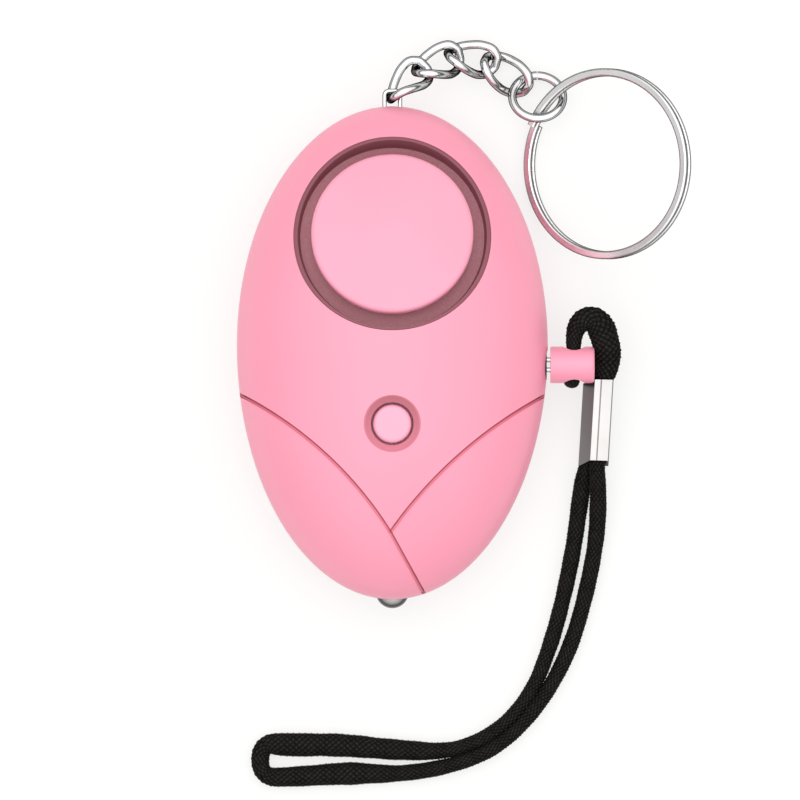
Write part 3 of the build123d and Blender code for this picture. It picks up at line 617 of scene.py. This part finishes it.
# Painted shade: a deeper pink band is painted along the floor of each V-panel groove.
groove_half_width = 0.24 * MM
groove_shade_strength = 0.65
groove_arcs = (  # centre and radius in mm, the y that it ends at, and whether it lies above that
    ((-41.241, -49.538), 48.30, -23.7, True),
    ((46.070, -56.476), 56.58, -24.1, True),
    ((-1083.21, -623.06), 1237.62, -23.7, False),
)
for (x, y), radius, end, above in groove_arcs:
    distance = add(
        tree, "ShaderNodeGroup", node_tree=from_axis, Centre=(x * MM, y * MM, 0), Axis=straight_up
    )
    near = add(tree, "ShaderNodeMath", operation="COMPARE")
    near.inputs[1].default_value = radius * MM
    near.inputs[2].default_value = groove_half_width
    side = add(tree, "ShaderNodeMath", operation="GREATER_THAN" if above else "LESS_THAN")
    side.inputs[1].default_value = end * MM
    groove_shade_band = add(tree, "ShaderNodeMath", operation="MULTIPLY")
    soften = add(tree, "ShaderNodeMath", operation="MULTIPLY")
    soften.inputs[1].default_value = groove_shade_strength
    tree.links.new(distance.outputs["Distance"], near.inputs[0])
    tree.links.new(seam_split.outputs["Y"], side.inputs[0])
    tree.links.new(near.outputs[0], groove_shade_band.inputs[0])
    tree.links.new(side.outputs[0], groove_shade_band.inputs[1])
    tree.links.new(groove_shade_band.outputs[0], soften.inputs[0])
    seam_and_painted_shade = mix_colours(tree, soften.outputs[0], seam_and_painted_shade, rgb(222, 118, 138))
tree.links.new(seam_and_painted_shade, tree.nodes["Principled BSDF"].inputs["Base Color"])
finish_nodes(case_material, "front_shell", "rear_shell")

# The siren sits in a round recess. A mauve cup lines it, grainy on its floor, and its sloping
# wall is painted a darker, smooth mauve as shade. A crowned pink cap covers the sounder, which
# sounds through the ring gap.
siren_centre = (0, 14.6 * MM, 18.117 * MM)
siren_axis = (0, 0.1985, 0.9801)
insert_material = plastic(
    "mauve_insert", rgb(188, 120, 131), rgb(168, 104, 116),
    grain_scale=3400.0, grain_depth=0.55, roughness=0.55,
)
tree = insert_material.node_tree
speckle_place = add(tree, "ShaderNodeTexCoord")
speckle = add(tree, "ShaderNodeTexNoise", Scale=4200.0, Detail=1.0, Roughness=0.5)
speckle_ramp = add(tree, "ShaderNodeMapRange", From_Min=0.42, From_Max=0.66)
tree.links.new(speckle_place.outputs["Object"], speckle.inputs["Vector"])
tree.links.new(speckle.outputs[0], speckle_ramp.inputs["Value"])
speckle_tint = mix_colours(
    tree, speckle_ramp.outputs[0], tree.nodes["skin"].outputs["Colour"], rgb(184, 132, 141)
)
# Painted shade: the cup's wall, outside the floor's radius, is coloured darker.
shaded_wall_zone = round_zone(tree, siren_centre, siren_axis, inner=11.78 * MM, outer=11.88 * MM)
wall_painted_shade = mix_colours(tree, shaded_wall_zone, speckle_tint, rgb(142, 82, 93))
tree.links.new(wall_painted_shade, tree.nodes["Principled BSDF"].inputs["Base Color"])
finish_nodes(insert_material, "sound_insert")
cap_material = plastic(
    "pink_cap", rgb(251, 163, 187), deep_pink,
    case_grain, grain_depth=0.08, roughness=0.42, gloss=case_gloss,
)
finish_nodes(cap_material, "siren_cap")

# The light button is a small pink plastic cap in a dished seat. A black plunger under it
# presses the switch on the board.
button_material = plastic(
    "pink_button", rgb(252, 168, 192), pink,
    case_grain, grain_depth=0.05, roughness=0.36, gloss=case_gloss,
)
finish_nodes(button_material, "button_cap")
plunger_material = plastic(
    "black_plunger", rgb(38, 38, 40), rgb(28, 28, 30),
    grain_scale=5000.0, grain_depth=0.2, roughness=0.5,
)
finish_nodes(plunger_material, "switch_plunger")

# The lamp at the lower end is a clear resin lamp in a dark grey bezel. Its look is painted into
# its colour: pale in the middle and grey towards the rim, as painted light and shade of a clear
# dome.
lens_material, tree, shader = new_material("clear_lens")
edge = add(tree, "ShaderNodeLayerWeight", Blend=0.42)
painted_rim_shade = add(tree, "ShaderNodeValToRGB")
set_stops(painted_rim_shade, [(0.12, rgb(214, 206, 208)), (0.40, rgb(50, 54, 50))])
tree.links.new(edge.outputs["Facing"], painted_rim_shade.inputs[0])
tree.links.new(painted_rim_shade.outputs[0], shader.inputs["Base Color"])
adjust(shader, Roughness=0.12, Specular_IOR_Level=0.3)
finish_nodes(lens_material, "lamp_lens")
bezel_material = plastic(
    "grey_bezel", rgb(62, 61, 60), rgb(48, 47, 47),
    grain_scale=5000.0, grain_depth=0.15, roughness=0.38,
)
finish_nodes(bezel_material, "lamp_bezel")

# The pull pin has a pink grip with a cross hole for the strap, two drawn wire prongs, and a
# black socket inside the case that they slide in.
grip_material = plastic(
    "pink_grip", rgb(251, 158, 183), deep_pink,
    case_grain, grain_depth=0.06, roughness=0.36, gloss=case_gloss,
)
finish_nodes(grip_material, "pin_grip")
socket_material = plastic(
    "black_socket", rgb(34, 33, 34), rgb(26, 26, 27),
    grain_scale=4500.0, grain_depth=0.3, roughness=0.55,
)
finish_nodes(socket_material, "pin_socket")
finish_nodes(metal("prong_wire", (0.74, 0.73, 0.72, 1), roughness=0.18), "pin_prongs")

# A staple in the case holds a short curb chain of twisted wire links, and a jump ring joins it
# to the split ring of flat wire that takes the keys. All of it is steel, plated bright.
# Painted reflection: the links' colour darkens at their edges as they turn from the eye.
link_material = metal(
    "bright_links", (0.88, 0.88, 0.89, 1), roughness=0.06,
    mark_scale=700.0, mark_depth=0.12, edge=(0.16, 0.60, 0.12),
)
finish_nodes(
    link_material,
    "chain_staple", "chain_link_1", "chain_link_2", "chain_link_3", "chain_link_4", "jump_ring",
)
# Painted reflection: the split ring's colour darkens at its edges as they turn from the eye.
ring_material = metal(
    "bright_ring", (0.90, 0.90, 0.90, 1), roughness=0.20,
    mark_scale=500.0, mark_depth=0.08, edge=(0.14, 0.50, 0.15),
)
finish_nodes(ring_material, "split_ring")

# The inner works: the board and what it carries, the three cells in their tray, the sounder
# under the recess floor, the contact strips, and the screws that close the case.
for pieces, name, colour, roughness, mark_scale, mark_depth in (
    (("case_screws",), "zinc_screws", (0.62, 0.62, 0.64, 1), 0.30, 1500.0, 0.25),
    (("button_cells",), "cell_steel", (0.75, 0.75, 0.76, 1), 0.24, 1100.0, 0.15),
    (("piezo_disc",), "sounder_brass", (0.78, 0.58, 0.25, 1), 0.22, 900.0, 0.12),
    (("inductor_winding",), "copper_winding", (0.80, 0.40, 0.22, 1), 0.28, 2600.0, 0.6),
    (
        (
            "cell_link_high", "cell_link_low", "contact_negative", "contact_positive",
            "lamp_legs", "switch_leaves",
        ),
        "nickel_strip", (0.76, 0.74, 0.70, 1), 0.20, 900.0, 0.12,
    ),
):
    finish_nodes(metal(name, colour, roughness, mark_scale, mark_depth), *pieces)
for pieces, name, colour, deeper, grain_scale, grain_depth, roughness in (
    (("circuit_board",), "green_board", rgb(40, 110, 62), rgb(30, 90, 50), 900.0, 0.1, 0.45),
    (
        ("control_chip", "inductor_core", "siren_transistor", "tact_switch"),
        "black_component", rgb(30, 30, 31), rgb(22, 22, 23), 3000.0, 0.3, 0.5,
    ),
    (("battery_tray",), "black_tray", rgb(44, 44, 46), rgb(34, 34, 36), 4000.0, 0.3, 0.55),
    (
        ("piezo_ceramic",),
        "white_ceramic", rgb(226, 224, 216), rgb(214, 211, 202), 2500.0, 0.2, 0.6,
    ),
    (("piezo_gasket",), "black_gasket", rgb(26, 26, 26), rgb(20, 20, 20), 3500.0, 0.5, 0.8),
    (("sounder_leads",), "red_lead", rgb(176, 34, 32), rgb(150, 26, 26), 3000.0, 0.2, 0.5),
):
    finish_nodes(plastic(name, colour, deeper, grain_scale, grain_depth, roughness), *pieces)
